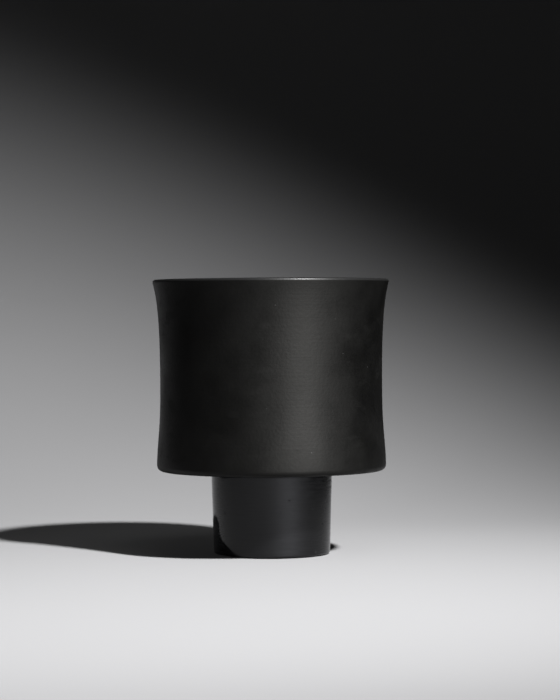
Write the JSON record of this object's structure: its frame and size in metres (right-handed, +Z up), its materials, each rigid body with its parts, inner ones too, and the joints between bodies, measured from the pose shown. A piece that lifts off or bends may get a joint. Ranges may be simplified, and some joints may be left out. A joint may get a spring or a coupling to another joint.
{
  "type": "candle jar",
  "caption": "Open waisted cup with a rounded lip, bolted onto a narrower, nearly straight foot with a felt pad, for a poured candle.",
  "frame": {"origin": "on the axis, in the plane that the jar stands on", "axes": "+Z up along the jar's axis; the jar is round, so +X and +Y are free"},
  "size_m": [0.09, 0.09, 0.1046],
  "materials": {
    "cup_coat": "matte black outside, satin black lip and inside",
    "foot_enamel": "gloss black",
    "gasket_rubber": "matte",
    "stud_steel": "bright steel",
    "zinc_steel": "zinc plated",
    "spring_steel": "spring steel",
    "nut_steel": "zinc plated",
    "disc_steel": "cold rolled",
    "pad_felt": "black felt"
  },
  "bodies": {
    "root": {"cup": "cup_coat", "cup_stud": "stud_steel", "seam_gasket": "gasket_rubber", "foot": "foot_enamel", "plain_washer": "zinc_steel", "spring_washer": "spring_steel", "hex_nut": "nut_steel", "base_disc": "disc_steel", "base_pad": "pad_felt"}
  },
  "joints": []
}
